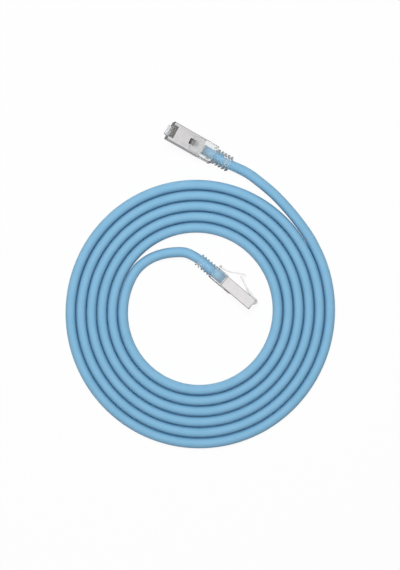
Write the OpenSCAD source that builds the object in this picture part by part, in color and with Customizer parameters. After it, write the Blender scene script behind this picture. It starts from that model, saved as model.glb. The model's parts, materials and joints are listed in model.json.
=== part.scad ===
// Shielded patch cable, laid flat in a spiral coil, with an 8P8C plug on each end.
// Millimetres, +Z up, origin on the resting plane under the middle of the whole cable.
//
// Each plug is drawn in its own frame: x runs from the nose towards the cable,
// y across the width, and z towards the latch side. Its axis is y = z = 0.

/* [Cable] */
// Outside diameter of the round jacket
cable_d = 6; // [5.8:0.1:7]
// Wall of the jacket
jacket_wall = 0.8; // [0.6:0.05:0.8]
// Diameter over the insulation of one wire
wire_d = 0.9; // [0.7:0.02:0.9]
// Diameter of the copper inside one wire
copper_d = 0.5; // [0.3:0.02:0.6]
// Thickness of one arm of the cross-shaped separator
separator_t = 0.3; // [0.2:0.05:0.3]
// Thickness of the foil and braid screen
screen_t = 0.15; // [0.1:0.05:0.15]

/* [Coil] */
// Radius of the inner turn's centre line, at the left of the coil
coil_r = 46.4; // [44:0.2:60]
// Length of the coil along Y for each millimetre of its width
coil_stretch = 1.016; // [1:0.002:1.04]
// Space between neighbouring turns
turn_gap = 0.46; // [0.46:0.01:2]
// Direction, from the coil's centre, in which the inner end leaves
inner_angle = 150; // [135:15:165]
// Direction, from the coil's centre, in which the outer end leaves
outer_angle = 30; // [15:15:45]
// Whole turns between those two directions
whole_turns = 5; // [3:1:8]
// Angle by which the inner end turns in from the coil
inner_turn_in = 9; // [8:1:14]

/* [Plug] */
// Width over the shield
plug_w = 11.7; // [11.6:0.1:13]
// Height over the shield
plug_h = 7.2; // [7:0.1:8]
// Length from the nose to the back of the shield
plug_len = 22.4; // [21.5:0.1:24]
// Length of the clear rim in front of the shield
rim_len = 0.5; // [0.4:0.1:1]
// Thickness of the shield's sheet metal
shield_t = 0.25; // [0.2:0.05:0.4]
// Radius of the long corners of the plug
corner_r = 0.5; // [0.45:0.05:0.8]
// Spacing of the eight contacts
contact_pitch = 1.02; // [1:0.01:1.06]
// Thickness of one contact blade
contact_t = 0.35; // [0.25:0.05:0.4]
// Depth of one contact blade below the contact face
contact_inset = 0.3; // [0.2:0.05:0.5]
// Length of the block that keeps the eight wires in a row
load_bar_len = 7.2; // [5:0.1:7.2]

/* [Latch] */
// Width of the latch where it locks
latch_w = 6.3; // [5.8:0.1:6.6]
// Width of the latch's finger tab
latch_tab_w = 3.9; // [3:0.1:4.4]
// Radius of the hinge pin across the nose
latch_pin_r = 1.2; // [1:0.05:1.25]
// Wall of the loop that wraps the hinge pin
latch_loop_t = 0.75; // [0.6:0.05:0.8]
// Distance from the latch face down to the hinge pin's axis
latch_pin_depth = 1.3; // [1.2:0.05:1.4]
// Depth of the channel that the pressed latch sinks into
latch_channel = 0.9; // [0.8:0.05:1]

/* [Boot] */
// Wall of the clear boot
boot_wall = 0.6; // [0.5:0.05:0.8]
// Distance from the nose to the tip of the boot's flap, which lies on the contact side
boot_front = 14.9; // [14:0.1:16]
// Distance from the nose to the end of the boot's hollow body
boot_body_end = 31.2; // [30.8:0.1:31.4]
// Distance by which the boot's body stands out on each side of the plug
boot_side = 0.15; // [0.05:0.05:0.3]
// Distance from the nose to the end of the boot's ribbed tail
boot_end = 43.4; // [42:0.1:46]
// Number of ribs on the tail
rib_count = 5; // [3:1:5]
// Spacing of the ribs
rib_pitch = 2.3; // [2.1:0.05:2.4]
// Thickness of one rib
rib_t = 1.1; // [0.8:0.05:1.4]
// Width of a rib
rib_w = 9.6; // [9.4:0.1:10.4]
// Height of a rib
rib_h = 8.2; // [8.2:0.1:9]
// Width of the guard tongue over the latch
guard_w = 5; // [4.4:0.1:5.2]
// Radius of the guard's hinge pin
guard_pin_r = 0.37; // [0.3:0.01:0.4]

/* [Resting place] */
// Slope of plug A, which rests on its latch guard and its tail
plug_a_tilt = 14; // [12:0.5:14.5]
// Roll of plug A about its own length
plug_a_roll = 5; // [0:1:12]

/* [Hidden] */
$fn = 48;

// Running and fitting clearances
pin_play = 0.1;
part_play = 0.3;
swing_play = 0.8;
wire_play = 0.02;
cut = 0.1;

// Colours
jacket_blue = [0.48, 0.70, 0.86];
clear_plastic = [0.86, 0.89, 0.90, 0.6];
nickel = [0.78, 0.78, 0.78];
contact_metal = [0.66, 0.64, 0.60];
bar_grey = [0.42, 0.43, 0.44];
copper = [0.78, 0.46, 0.30];
screen_grey = [0.62, 0.64, 0.66];

// Cable
cable_r = cable_d / 2;
core_r = cable_r - jacket_wall;
screen_in_r = core_r - screen_t;
pair_h = wire_d / 2 + wire_play;
pair_c = pair_h + sqrt(2) * (separator_t / 2 + wire_d / 2 + wire_play);
separator_arm = screen_in_r - wire_play;

// Coil: its centre, and the height of the cable's axis once its underside is cut flat
coil_centre = [-1.6, -15.85];
flat_depth = cable_d / 10;
axis_z = cable_r - flat_depth;
turn_pitch = cable_d + turn_gap;
rings_per_turn = 24;
coil_step = 360 / rings_per_turn;
coil_end_angle = 360 * (whole_turns + (outer_angle < inner_angle ? 1 : 0)) + outer_angle;

// Plug: stations along it, measured from the nose
housing_len = plug_len - 1.2;
latch_face = plug_h / 2;
contact_face = -plug_h / 2;
inner_w = plug_w - 2 * shield_t;
inner_h = plug_h - 2 * shield_t;
cavity_w = 9;
cavity_h = 4.6;
chamber_h = 2.6;
wire_z = -0.5;
core_z = 0.1;
wire_tip = 1.4;
chamber_front = 1.2;
load_bar_front = 1.3;
chamber_end = load_bar_front + load_bar_len + 0.9;
fan_x = 13;
core_x = 18.5;
jacket_front = plug_len - 0.8;
slot_len = 3.4;
blade_front = 0.45;
blade_back = 3.2;
blade_root = -1.5;
tine_x = [1.7, 2.5];
tine_len = 0.4;
window_x = [13.3, 17.2];
window_w = 3.8;
crimp_x = [plug_len + 0.25, plug_len + 1.05];
crimp_in_r = cable_r + screen_t;

// Latch: [distance from the nose, height above the latch face, thickness]
latch_root = [[0.25, 0.375, 0.75], [2.5, 0.42, 1], [4.8, 0.8, 1.4], [7.4, 1.5, 1.4], [8.4, 1.85, 1]];
latch_tab = [
    [7.2, 1.45, 0.9], [9.2, 2.15, 0.9], [11.2, 2.95, 0.9], [13.1, 3.85, 0.9],
    [14.6, 4.65, 1.2], [15.2, 5, 1.5], [16.6, 5.6, 1.4]
];
latch_pin = [0.25, latch_face - latch_pin_depth];
loop_in_r = latch_pin_r + pin_play;
loop_out_r = loop_in_r + latch_loop_t;
loop_end = 248;
channel_end = 12.9;
latch_shoulder = 8.4;

// Guard tongue: [distance from the nose, height above the latch face, thickness]
guard_line = [
    [30, 1.9, 0.8], [27.8, 1.95, 0.8], [25.4, 2.45, 0.8], [23, 3.35, 0.8], [20.8, 4.45, 0.8],
    [18.8, 5.75, 0.8], [17, 6.85, 0.8], [15.4, 7.35, 0.8], [14.2, 7.4, 0.7]
];
guard_pin = [30, latch_face + 1.9];
guard_eye_r = 0.75;
cheek_t = 0.7;

// Boot
boot_body_front = plug_len + 0.1;
flap_w = 9;
tail_front = boot_body_end + 1.2;
tail_core_r = cable_r + boot_wall;
first_rib = tail_front + 0.5;

// Wires: each leaves the row in the load bar, passes one point of the fan and joins the core
wire_fan = [
    [-2.55, 0.6], [-2.05, -0.45], [-1.27, 0.75], [-0.49, -0.72],
    [0.49, -0.72], [1.27, 0.75], [2.05, -0.45], [2.55, 0.6]
];
wire_core = [
    [-pair_c, pair_h], [-pair_c, -pair_h], [-pair_h, pair_c], [-pair_h, -pair_c],
    [pair_h, -pair_c], [pair_h, pair_c], [pair_c, -pair_h], [pair_c, pair_h]
];

// Where the plugs lie: the middle of each nose, and the turn of its frame
plug_a_nose = [-18.75, 95.1, 14.95];
plug_a_turn = [180 - plug_a_roll, plug_a_tilt, -28.4];
plug_b_nose = [32.05, -11.6, plug_w / 2 + boot_side + 0.05];
plug_b_turn = [90, 0, 139.8];

// The free stretches between each boot and the coil. Lead A follows the outer turn, so each of its
// points is [direction from the coil's centre, distance beyond the last turn, height]
lead_a_line = [[70.2, 7.4, 3.1], [63.1, 5, 2.6], [55.4, 3, 2.4], [46.4, 1.15, 2.4], [39.1, 0.35, 2.4]];
lead_b_route = [[-8.5, 20.35, 5.4], [-16, 20.75, 4.4], [-23.9, 19.55, 3.2], [-31.4, 16.65, 2.5]];
lead_sides = 10;

// ---- Helpers ----

function unit(v) = v / norm(v);
function flat_left(v) = unit([-v[1], v[0], 0]);
function turn_x(p, a) = [p[0], p[1] * cos(a) - p[2] * sin(a), p[1] * sin(a) + p[2] * cos(a)];
function turn_y(p, a) = [p[0] * cos(a) + p[2] * sin(a), p[1], p[2] * cos(a) - p[0] * sin(a)];
function turn_z(p, a) = [p[0] * cos(a) - p[1] * sin(a), p[0] * sin(a) + p[1] * cos(a), p[2]];
function turned(p, t) = turn_z(turn_y(turn_x(p, t[0]), t[1]), t[2]);

// Direction of a route at one of its points, from the neighbours on both sides
function along(route, i) =
    unit(route[min(i + 1, len(route) - 1)] - route[max(i - 1, 0)]);

// A closed ring of points round c, square to direction d, no lower than low
function ring(c, d, r, sides, low) =
    let (left = flat_left(d), up = cross(d, left))
    [for (k = [0:sides - 1])
        let (p = c + r * cos(360 * k / sides) * left + r * sin(360 * k / sides) * up)
        [p[0], p[1], max(p[2], low)]];

// Triangles of a tube with flat ends through rings of the same number of points
function tube_faces(rings, sides) = concat(
    [for (i = [0:rings - 2], k = [0:sides - 1])
        [i * sides + k, (i + 1) * sides + k, i * sides + (k + 1) % sides]],
    [for (i = [0:rings - 2], k = [0:sides - 1])
        [i * sides + (k + 1) % sides, (i + 1) * sides + k, (i + 1) * sides + (k + 1) % sides]],
    [for (k = [1:sides - 2]) [0, k, k + 1]],
    [for (k = [1:sides - 2])
        [(rings - 1) * sides, (rings - 1) * sides + k + 1, (rings - 1) * sides + k]]
);

// A tube swept through the points of a route; first and last are its directions at the ends
module swept_tube(route, first, last, r, sides, low = 0) {
    n = len(route);
    dirs = [for (i = [0:n - 1]) i == 0 ? first : i == n - 1 ? last : along(route, i)];
    points = [for (i = [0:n - 1]) each ring(route[i], dirs[i], r, sides, low)];
    polyhedron(points, tube_faces(n, sides));
}

// Outline of a strip of varying thickness along points of [x, height, thickness]
function strip_normal(line, i) =
    let (d = line[min(i + 1, len(line) - 1)] - line[max(i - 1, 0)])
    [-d[1], d[0]] / norm([d[0], d[1]]);
function strip_side(line, sign) =
    [for (i = [0:len(line) - 1])
        [line[i][0], latch_face + line[i][1]] + sign * line[i][2] / 2 * strip_normal(line, i)];
function strip(line) =
    let (low = strip_side(line, -1))
    concat(strip_side(line, 1), [for (i = [len(low) - 1:-1:0]) low[i]]);

// An outline drawn in x and z, given a width across y
module across(width) {
    rotate([90, 0, 0])
        linear_extrude(height = width, center = true)
            children();
}

// An outline drawn in y and z, carried along x from one station to another
module carried(from, to) {
    translate([from, 0, 0])
        rotate([90, 0, 90])
            linear_extrude(height = to - from)
                children();
}

module rounded_rect(w, h, r) {
    square([w - 2 * r, h], center = true);
    square([w, h - 2 * r], center = true);
    for (sy = [-1, 1], sz = [-1, 1])
        translate([sy * (w / 2 - r), sz * (h / 2 - r)])
            circle(r);
}

// A block between two corners
module block(low, high) {
    translate(low) cube(high - low);
}

// A cylinder along x
module x_rod(from, to, r) {
    translate([from, 0, 0]) rotate([0, 90, 0]) cylinder(h = to - from, r = r);
}

// A cylinder along y, centred
module y_rod(x, z, r, width) {
    translate([x, 0, z]) rotate([90, 0, 0]) cylinder(h = width, r = r, center = true);
}

// ---- The coil and the leads ----

function coil_radius(a) = coil_r + turn_pitch * (a - 180) / 360;
function from_coil(a, r, z) =
    [coil_centre[0] + r * cos(a), coil_centre[1] + coil_stretch * r * sin(a), z];
function coil_point(a) = from_coil(a, coil_radius(a), axis_z);
function heading(a) = [cos(a), sin(a), 0];

inner_dir = heading(inner_angle + 90 - inner_turn_in);
outer_dir = heading(coil_end_angle + 90);
coil_turns = [for (a = [inner_angle:coil_step:coil_end_angle]) coil_point(a)];
inner_end = coil_turns[0] - cable_d * inner_dir;
outer_end = coil_turns[len(coil_turns) - 1] + cable_d * outer_dir;
coil_route = concat([inner_end], coil_turns, [outer_end]);

// Least gap of the coil to itself, between points of its axis more than half a turn apart
function with_middles(p) =
    [for (i = [0:len(p) - 2]) each [p[i], (p[i] + p[i + 1]) / 2]];
axis_points = with_middles(coil_route);
least_gap = min([
    for (i = [0:len(axis_points) - 1], j = [i + rings_per_turn:1:len(axis_points) - 1])
        norm(axis_points[i] - axis_points[j])
]) - cable_d;
echo(coil_least_gap_mm = least_gap);

// Length of the jacket from boot to boot
function route_length(p) = len(p) < 2 ? 0 : [for (
    i = 0, s = 0;
    i < len(p);
    s = s + (i < len(p) - 1 ? norm(p[i + 1] - p[i]) : 0), i = i + 1
) s][len(p) - 1];

lead_a_route =
    [for (p = lead_a_line) from_coil(p[0], coil_radius(coil_end_angle) + p[1], p[2])];
function on_plug(p, nose, turn) = nose + turned(p, turn);
boot_a_exit = on_plug([boot_end, 0, core_z], plug_a_nose, plug_a_turn);
boot_b_exit = on_plug([boot_end, 0, core_z], plug_b_nose, plug_b_turn);
lead_a_points = concat([boot_a_exit], lead_a_route, [outer_end]);
lead_b_points = concat([boot_b_exit], lead_b_route, [inner_end]);
echo(jacket_length_mm =
    route_length(coil_route) + route_length(lead_a_points) + route_length(lead_b_points)
    + 2 * (boot_end - jacket_front));

module cable_coil() {
    color(jacket_blue)
        swept_tube(coil_route, inner_dir, outer_dir, cable_r, 6);
}

module lead_a() {
    color(jacket_blue)
        swept_tube(lead_a_points, turned([1, 0, 0], plug_a_turn), -outer_dir, cable_r, lead_sides);
}

module lead_b() {
    color(jacket_blue)
        swept_tube(lead_b_points, turned([1, 0, 0], plug_b_turn), inner_dir, cable_r, lead_sides);
}

// ---- The parts of one plug ----

// Clear body: rim, eight contact slots, window, hollow back and hinge pin
module housing() {
    color(clear_plastic) {
        difference() {
            union() {
                carried(0, rim_len) rounded_rect(plug_w, plug_h, corner_r);
                carried(rim_len, housing_len)
                    rounded_rect(inner_w, inner_h, corner_r - shield_t);
            }
            for (i = [0:7])
                block([-cut, row_y(i) - slot_w() / 2, contact_face - cut],
                    [slot_len, row_y(i) + slot_w() / 2, blade_root]);
            block([chamber_front, -cavity_w / 2, wire_z - chamber_h / 2],
                [chamber_end + cut, cavity_w / 2, wire_z + chamber_h / 2]);
            block([chamber_end, -cavity_w / 2, -cavity_h / 2],
                [housing_len + cut, cavity_w / 2, cavity_h / 2]);
            block([window_x[0], -window_w / 2, contact_face - cut],
                [window_x[1], window_w / 2, 0]);
            latch_channels();
        }
        y_rod(latch_pin[0], latch_pin[1], latch_pin_r, latch_w);
    }
}

function row_y(i) = (i - 3.5) * contact_pitch;
function slot_w() = contact_t + 0.25;

// Room for the latch: wide at its root, narrow under its finger tab
module latch_channels() {
    floor_z = latch_face - latch_channel;
    block([-cut, -latch_w / 2 - part_play, floor_z],
        [latch_shoulder + swing_play, latch_w / 2 + part_play, latch_face + cut]);
    block([latch_shoulder, -latch_tab_w / 2 - part_play, floor_z],
        [channel_end, latch_tab_w / 2 + part_play, latch_face + cut]);
}

// Eight stamped blades with rounded noses and two piercing tines each
module contacts() {
    blade_top = contact_face + contact_inset;
    nose_r = 0.8;
    color(contact_metal)
        for (i = [0:7])
            translate([0, row_y(i), 0])
                across(contact_t) {
                    translate([blade_front + nose_r, blade_top])
                        square([blade_back - blade_front - nose_r, blade_root - blade_top]);
                    translate([blade_front, blade_top + nose_r])
                        square([nose_r + cut, blade_root - blade_top - nose_r]);
                    translate([blade_front + nose_r, blade_top + nose_r])
                        circle(nose_r);
                    for (x = tine_x)
                        translate([x, blade_root - cut])
                            square([tine_len, wire_z - copper_d / 2 - blade_root + cut]);
                }
}

// Block with eight bores that keeps the wires in a row, slotted for the contacts
module load_bar() {
    bar_h = chamber_h - 0.2;
    color(bar_grey)
        difference() {
            block([load_bar_front, -cavity_w / 2 + 0.1, wire_z - bar_h / 2],
                [load_bar_front + load_bar_len, cavity_w / 2 - 0.1, wire_z + bar_h / 2]);
            for (i = [0:7])
                translate([0, row_y(i), wire_z])
                    x_rod(load_bar_front - cut, load_bar_front + load_bar_len + cut,
                        wire_d / 2 + wire_play);
            for (i = [0:7])
                block([load_bar_front - cut, row_y(i) - slot_w() / 2, wire_z - bar_h / 2 - cut],
                    [slot_len, row_y(i) + slot_w() / 2, wire_z]);
        }
}

// Folded sheet round the body, open over the contacts and the latch, with a tang bent into the
// body's window and a crimped collar on the cable
module shield() {
    neck_w = 4;
    tang_x = window_x[0] + 0.8;
    tang_z = contact_face + 1.3;
    collar_low = core_z - crimp_in_r - shield_t;
    slots_y = row_y(7) + slot_w() / 2 + 0.15;
    color(nickel) {
        difference() {
            carried(rim_len, plug_len) rounded_rect(plug_w, plug_h, corner_r);
            carried(rim_len - cut, plug_len + cut)
                rounded_rect(inner_w, inner_h, corner_r - shield_t);
            block([rim_len - cut, -slots_y, contact_face - cut],
                [slot_len + 0.15, slots_y, 0]);
            block([window_x[0], -window_w / 2, contact_face - cut],
                [window_x[1], window_w / 2, 0]);
            latch_channels();
        }
        across(window_w - part_play)
            polygon([
                [window_x[1] + cut, contact_face], [window_x[1] + cut, contact_face + shield_t],
                [window_x[1] - cut, contact_face + shield_t],
                [tang_x + cut, tang_z + shield_t], [tang_x, tang_z],
                [window_x[1] - 2 * cut, contact_face]
            ]);
        across(neck_w)
            polygon([
                [plug_len - 1, contact_face], [plug_len, contact_face],
                [crimp_x[0] + 0.5, collar_low], [crimp_x[0] + 0.5, collar_low + shield_t],
                [plug_len, contact_face + shield_t], [plug_len - 1, contact_face + shield_t]
            ]);
        translate([0, 0, core_z])
            difference() {
                x_rod(crimp_x[0], crimp_x[1], crimp_in_r + shield_t);
                x_rod(crimp_x[0] - cut, crimp_x[1] + cut, crimp_in_r);
                block([crimp_x[0] - cut, -0.5, 0], [crimp_x[1] + cut, 0.5, plug_h]);
            }
    }
}

// Springy locking arm: loop round the hinge pin, broad locking root and finger tab
module latch() {
    reach = 2 * loop_out_r;
    color(clear_plastic) {
        across(latch_w)
            difference() {
                translate(latch_pin) circle(loop_out_r);
                translate(latch_pin) circle(loop_in_r);
                polygon([
                    latch_pin, latch_pin + reach * [cos(loop_end), sin(loop_end)],
                    latch_pin + reach * [1, -1], latch_pin + reach * [1, 1],
                    latch_pin + reach * [0, 1]
                ]);
            }
        across(latch_w) polygon(strip(latch_root));
        across(latch_tab_w) polygon(strip(latch_tab));
    }
}

// Tongue that arches over the latch's tip, with the eye that its pin passes through
module latch_guard() {
    color(clear_plastic)
        difference() {
            union() {
                across(guard_w) polygon(strip(guard_line));
                y_rod(guard_pin[0], guard_pin[1], guard_eye_r, guard_w);
            }
            y_rod(guard_pin[0], guard_pin[1], guard_pin_r + 0.03, guard_w + 2);
        }
}

// Clear strain-relief boot: flap along the plug, hollow body, ribbed tail and guard hinge
module boot() {
    outer_w = plug_w + 2 * boot_side;
    outer_h = plug_h + 2 * boot_wall;
    hollow_w = outer_w - 2 * boot_wall;
    cheek_y = guard_w / 2 + 0.15;
    taper_out_w = 2 * tail_core_r;
    color(clear_plastic) {
        difference() {
            union() {
                carried(boot_body_front, boot_body_end)
                    rounded_rect(outer_w, outer_h, corner_r + boot_wall);
                hull() {
                    carried(boot_body_end - 0.1, boot_body_end)
                        rounded_rect(outer_w, outer_h, corner_r + boot_wall, $fn = 16);
                    translate([0, 0, core_z])
                        carried(tail_front - 0.1, tail_front)
                            rounded_rect(taper_out_w, taper_out_w, tail_core_r - 0.8, $fn = 16);
                }
            }
            carried(boot_body_front - cut, boot_body_end)
                rounded_rect(hollow_w, plug_h, corner_r);
            hull() {
                carried(boot_body_end - 0.1, boot_body_end)
                    rounded_rect(hollow_w, plug_h, corner_r, $fn = 16);
                translate([0, 0, core_z])
                    x_rod(tail_front - 0.7, tail_front - 0.6, cable_r, $fn = 32);
            }
            translate([0, 0, core_z]) x_rod(boot_body_end, boot_end + cut, cable_r);
        }
        block([boot_front, -flap_w / 2, contact_face - boot_wall],
            [boot_body_front + cut, flap_w / 2, contact_face]);
        translate([0, 0, core_z])
            difference() {
                union() {
                    x_rod(tail_front, boot_end, tail_core_r);
                    for (i = [0:rib_count - 1])
                        carried(first_rib + i * rib_pitch, first_rib + i * rib_pitch + rib_t)
                            rounded_rect(rib_w, rib_h, 2);
                }
                x_rod(tail_front - cut, boot_end + cut, cable_r);
            }
        for (s = [-1, 1])
            translate([0, s * (cheek_y + cheek_t / 2), 0])
                across(cheek_t)
                    polygon([
                        [guard_pin[0] - 1.6, latch_face], [guard_pin[0] + 1, latch_face],
                        [guard_pin[0] + 0.7, guard_pin[1] + 0.6], [guard_pin[0] - 0.7, guard_pin[1] + 0.6]
                    ]);
        y_rod(guard_pin[0], guard_pin[1], guard_pin_r, 2 * cheek_y + cheek_t);
    }
}

function wire_points(i) = [
    [wire_tip, row_y(i), wire_z],
    [chamber_end, row_y(i), wire_z],
    [fan_x, wire_fan[i][0] * contact_pitch, (wire_z + core_z) / 2 + wire_fan[i][1]],
    [core_x, wire_core[i][0], core_z + wire_core[i][1]],
    [boot_end, wire_core[i][0], core_z + wire_core[i][1]]
];

module wire_tube(i, r, sides) {
    swept_tube(wire_points(i), [1, 0, 0], [1, 0, 0], r, sides, -plug_h);
}

// Two insulated wires, cut open where the tines of their contacts pierce them
module pair(first, second, first_colour, second_colour) {
    for (i = [first, second])
        color(i == first ? first_colour : second_colour)
            difference() {
                wire_tube(i, wire_d / 2, 8);
                wire_tube(i, copper_d / 2, 6);
                for (x = tine_x)
                    block([x, row_y(i) - contact_t / 2, wire_z - wire_d],
                        [x + tine_len, row_y(i) + contact_t / 2, wire_z]);
            }
}

module conductors() {
    color(copper)
        for (i = [0:7])
            wire_tube(i, copper_d / 2, 6);
}

// Cross that keeps the four pairs apart inside the cable
module separator() {
    color("white")
        translate([0, 0, core_z])
            carried(core_x + 0.5, boot_end) {
                rotate(45) square([2 * separator_arm, separator_t], center = true);
                rotate(-45) square([2 * separator_arm, separator_t], center = true);
            }
}

// Foil and braid: it lines the jacket and folds back over its end, under the collar
module screen() {
    fold_end = crimp_x[1] + 0.2;
    color(screen_grey)
        translate([0, 0, core_z])
            rotate([0, 90, 0])
                rotate_extrude()
                    polygon([
                        [screen_in_r, jacket_front - screen_t], [crimp_in_r, jacket_front - screen_t],
                        [crimp_in_r, fold_end], [cable_r, fold_end],
                        [cable_r, jacket_front], [core_r, jacket_front],
                        [core_r, boot_end], [screen_in_r, boot_end]
                    ]);
}

module jacket_end() {
    color(jacket_blue)
        translate([0, 0, core_z])
            difference() {
                x_rod(jacket_front, boot_end, cable_r);
                x_rod(jacket_front - cut, boot_end + cut, core_r);
            }
}

// Colours of the eight wires, in pairs
white_orange = [0.93, 0.83, 0.74];
orange = [0.90, 0.48, 0.16];
white_green = [0.82, 0.90, 0.82];
green = [0.20, 0.55, 0.28];
white_blue = [0.80, 0.86, 0.93];
blue = [0.16, 0.36, 0.70];
white_brown = [0.88, 0.83, 0.78];
brown = [0.42, 0.26, 0.16];

module on_a() { translate(plug_a_nose) rotate(plug_a_turn) children(); }
module on_b() { translate(plug_b_nose) rotate(plug_b_turn) children(); }

cable_coil();
lead_a();
lead_b();
on_a() housing();  // housing_a
on_a() contacts();  // contacts_a
on_a() load_bar();  // load_bar_a
on_a() shield();  // shield_a
on_a() latch();  // latch_a
on_a() boot();  // boot_a
on_a() latch_guard();  // latch_guard_a
on_a() pair(0, 1, white_orange, orange);  // pair_orange_a
on_a() pair(2, 5, white_green, green);  // pair_green_a
on_a() pair(3, 4, blue, white_blue);  // pair_blue_a
on_a() pair(6, 7, white_brown, brown);  // pair_brown_a
on_a() conductors();  // conductors_a
on_a() separator();  // separator_a
on_a() screen();  // screen_a
on_a() jacket_end();  // jacket_end_a
on_b() housing();  // housing_b
on_b() contacts();  // contacts_b
on_b() load_bar();  // load_bar_b
on_b() shield();  // shield_b
on_b() latch();  // latch_b
on_b() boot();  // boot_b
on_b() latch_guard();  // latch_guard_b
on_b() pair(0, 1, white_orange, orange);  // pair_orange_b
on_b() pair(2, 5, white_green, green);  // pair_green_b
on_b() pair(3, 4, blue, white_blue);  // pair_blue_b
on_b() pair(6, 7, white_brown, brown);  // pair_brown_b
on_b() conductors();  // conductors_b
on_b() separator();  // separator_b
on_b() screen();  // screen_b
on_b() jacket_end();  // jacket_end_b
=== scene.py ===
# %% [markdown]
# # A patch cable, coiled flat, with a clear-booted plug on each end
#
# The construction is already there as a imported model: every plug part, its joints and the coil's
# solid, all at real size. This script dresses it. Numbers are in millimetres and turned into metres
# only when a mesh is made, because a plug is easier to think about as 11.7 by 7.2 than as 0.0117.

# %% Load the frame
import json
import math

import bmesh
import bpy
import numpy as np
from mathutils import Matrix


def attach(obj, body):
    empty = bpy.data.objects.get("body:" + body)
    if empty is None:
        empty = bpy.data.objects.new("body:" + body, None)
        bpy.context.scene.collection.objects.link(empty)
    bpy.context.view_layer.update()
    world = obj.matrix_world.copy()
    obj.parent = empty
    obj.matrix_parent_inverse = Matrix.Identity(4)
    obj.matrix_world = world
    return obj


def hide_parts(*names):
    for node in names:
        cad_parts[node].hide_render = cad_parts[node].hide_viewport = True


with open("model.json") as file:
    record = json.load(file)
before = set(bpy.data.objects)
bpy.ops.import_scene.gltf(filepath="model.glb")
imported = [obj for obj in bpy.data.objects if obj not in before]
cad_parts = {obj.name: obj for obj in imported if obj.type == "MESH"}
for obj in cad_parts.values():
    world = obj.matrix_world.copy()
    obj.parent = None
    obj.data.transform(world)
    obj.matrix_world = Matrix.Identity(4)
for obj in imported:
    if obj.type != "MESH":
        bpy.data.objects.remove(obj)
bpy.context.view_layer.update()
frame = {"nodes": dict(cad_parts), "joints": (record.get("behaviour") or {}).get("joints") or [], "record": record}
MM = 0.001
ROOT = "cable"
SHARP_FROM = 50

# %% [markdown]
# ## Small helpers
#
# Each new surface is a grid of points, worked out as one numpy array and handed to Blender in one
# go. A grid may close on itself in either direction, which is what makes it a tube or a shell.

# %% Helpers for grids and meshes
def grid_faces(rows, columns, wrap_rows, wrap_columns):
    """Quads between neighbouring rows and columns of a grid, as vertex indices and grid places."""
    i, j = np.meshgrid(
        np.arange(rows if wrap_rows else rows - 1),
        np.arange(columns if wrap_columns else columns - 1),
        indexing="ij",
    )
    around_quad = ((0, 0), (1, 0), (1, 1), (0, 1))
    places = np.stack([np.stack([i + a, j + b], -1) for a, b in around_quad], 2).reshape(-1, 4, 2)
    corners = (places[..., 0] % rows) * columns + places[..., 1] % columns
    return corners, places


def grid_piece(name, grid, wrap_rows=False, wrap_columns=True, capped=True, lengths=None):
    """A mesh object from a (rows, columns, 3) grid in millimetres. Its UV map holds the distance
    along the rows in millimetres and the share of the way round the columns."""
    rows, columns = grid.shape[:2]
    corners, places = grid_faces(rows, columns, wrap_rows, wrap_columns)
    faces = corners.tolist()
    if capped and not wrap_rows:
        faces += [list(range(columns))[::-1], list(range((rows - 1) * columns, rows * columns))]
    mesh = bpy.data.meshes.new(name)
    mesh.from_pydata((grid.reshape(-1, 3) * MM).tolist(), [], faces)
    if lengths is None:
        lengths = np.arange(rows + 1, dtype=float)
    uv = np.zeros((len(mesh.loops), 2), np.float32)
    uv[: corners.size, 0] = lengths[np.minimum(places[..., 0], len(lengths) - 1)].ravel()
    uv[: corners.size, 1] = (places[..., 1] / columns).ravel()
    mesh.uv_layers.new(name="along").data.foreach_set("uv", uv.ravel())
    return finish_mesh(name, mesh)


def finish_mesh(name, mesh):
    """Closes a new mesh's shading: normals outwards, smooth except at sharp edges."""
    work = bmesh.new()
    work.from_mesh(mesh)
    bmesh.ops.recalc_face_normals(work, faces=work.faces)
    work.to_mesh(mesh)
    work.free()
    mesh.shade_smooth()
    mesh.set_sharp_from_angle(angle=math.radians(SHARP_FROM))
    piece = bpy.data.objects.new(name, mesh)
    bpy.context.scene.collection.objects.link(piece)
    return piece


stood_for = set()


def dress(piece, material, body=ROOT, nodes=()):
    """Gives a piece its material, its body and the nodes it stands for."""
    stood_for.update(nodes)
    piece.data.materials.clear()
    piece.data.materials.append(material)
    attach(piece, body)
    if nodes:
        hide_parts(*nodes)


# %% Helpers for curves
PER_SPAN = 24


def smooth_path(points, step):
    """Catmull-Rom curve through points, sampled about every step millimetres."""
    p = np.asarray(points, float)
    before = np.concatenate([[2 * p[0] - p[1]], p[:-2]])
    after = np.concatenate([p[2:], [2 * p[-1] - p[-2]]])
    start, end = p[:-1], p[1:]
    t = np.linspace(0, 1, PER_SPAN, endpoint=False)[None, :, None]
    out_of = (end - before)[:, None] / 2
    into = (after - start)[:, None] / 2
    s, e = start[:, None], end[:, None]
    dense = (
        (2 * t**3 - 3 * t**2 + 1) * s + (t**3 - 2 * t**2 + t) * out_of
        + (3 * t**2 - 2 * t**3) * e + (t**3 - t**2) * into
    ).reshape(-1, p.shape[1])
    return even_path(np.concatenate([dense, p[-1:]]), step)


def lengths_along(path):
    """Distance of every point from the first, along the path."""
    return np.concatenate([[0], np.cumsum(np.linalg.norm(np.diff(path[:, :3], axis=0), axis=1))])


def even_path(path, step):
    """The same path with its points evenly spaced; further columns are carried along."""
    s = lengths_along(path)
    even = np.linspace(0, s[-1], max(2, int(round(s[-1] / step)) + 1))
    return np.stack([np.interp(even, s, column) for column in path.T], -1)


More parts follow.
